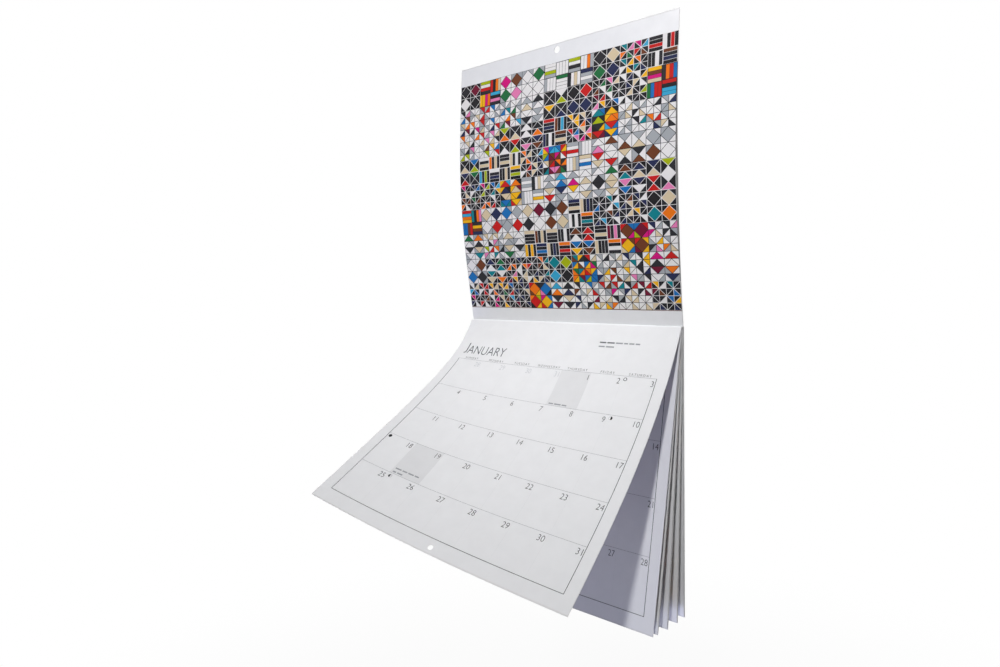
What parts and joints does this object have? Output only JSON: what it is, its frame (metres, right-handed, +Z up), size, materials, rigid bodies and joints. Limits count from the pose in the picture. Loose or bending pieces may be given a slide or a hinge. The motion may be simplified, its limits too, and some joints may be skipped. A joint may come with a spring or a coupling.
{
  "type": "wall calendar",
  "caption": "Wall calendar of nested folded sheets stapled through the fold, hung open from a nail hole with a picture above, a curled month page below and the later leaves fanned behind.",
  "frame": {"origin": "centre of the hanging hole in the picture leaf, at the leaf's mid thickness", "axes": "+X to the right along the fold as the reader sees it, +Y square to the wall and towards it, +Z up"},
  "size_m": [0.3076, 0.2823, 0.6616],
  "materials": {
    "cover": "heavier coated paper, silk",
    "page": "coated paper, silk, printed in colour",
    "staple": "drawn round wire"
  },
  "bodies": {
    "root": {"cover_sheet": "cover", "picture_sheet": "page", "january_sheet": "page", "february_sheet": "page", "march_sheet": "page", "april_sheet": "page", "may_sheet": "page", "left_staple": "staple", "right_staple": "staple"}
  },
  "joints": []
}
